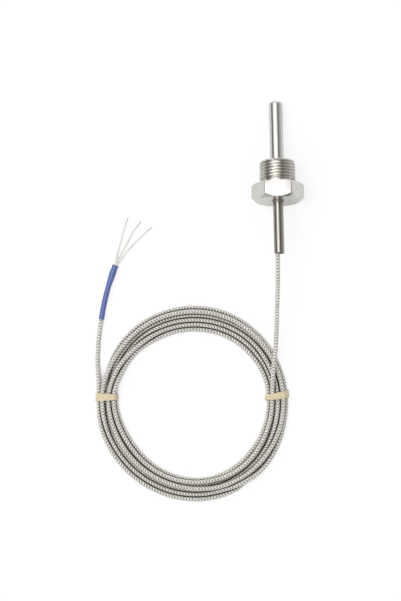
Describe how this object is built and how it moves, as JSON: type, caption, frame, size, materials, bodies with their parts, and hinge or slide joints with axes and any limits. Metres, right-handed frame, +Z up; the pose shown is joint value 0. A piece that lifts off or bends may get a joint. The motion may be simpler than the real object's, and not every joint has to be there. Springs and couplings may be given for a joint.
{
  "type": "rtd temperature probe",
  "caption": "Threaded resistance temperature probe: round-tipped steel sheath, hexagon fitting, slim stem and a coiled braided lead with a shrink sleeve and bare wire ends.",
  "frame": {"origin": "middle of the probe's own box, at its base, on the surface that it lies on; the cable and what is on it are left out", "axes": "+Y towards the sheath's tip, seen from above; +X to the right; +Z up. The probe's axis dips 11.05 degrees towards the tip, because it lies on its tip and on its hexagon's front edge."},
  "size_m": [0.1253, 0.2337, 0.0283],
  "materials": {
    "turned_steel": "fine turned and milled stainless steel",
    "tube_steel": "drawn and polished stainless steel",
    "weld_steel": "rippled weld with a faint straw tint",
    "steel_braid": "woven from bright stainless wire",
    "tinned_copper": "dull solder-dipped strands",
    "platinum": "drawn wire",
    "crimp_brass": "plain",
    "ceramic": null,
    "packed_powder": null,
    "splice_insulation": null,
    "potting_resin": "cast resin",
    "wire_insulation": "smooth fluoropolymer",
    "shrink_sleeve": "shrunk polyolefin with faint braid print-through",
    "rubber_band": "dusty natural latex"
  },
  "bodies": {
    "root": {"sheath_tube": "tube_steel", "sheath_weld": "weld_steel", "process_fitting": "turned_steel", "stem_tube": "tube_steel", "stem_weld": "weld_steel", "sensing_element": "ceramic", "element_leads": "platinum", "splice_crimps": "crimp_brass", "splice_sleeve": "splice_insulation", "thermal_fill": "packed_powder", "inner_wire_1": "wire_insulation", "inner_wire_2": "wire_insulation", "inner_wire_3": "wire_insulation", "stem_potting": "potting_resin", "cable_entry": "steel_braid", "cable_lead": "steel_braid", "cable_coil": "steel_braid", "cable_tail": "steel_braid", "end_sleeve": "shrink_sleeve", "tail_wire_1": "wire_insulation", "tail_wire_2": "wire_insulation", "tail_wire_3": "wire_insulation", "wire_tip_1": "tinned_copper", "wire_tip_2": "tinned_copper", "wire_tip_3": "tinned_copper", "rubber_band_left": "rubber_band", "rubber_band_right": "rubber_band"}
  },
  "joints": []
}
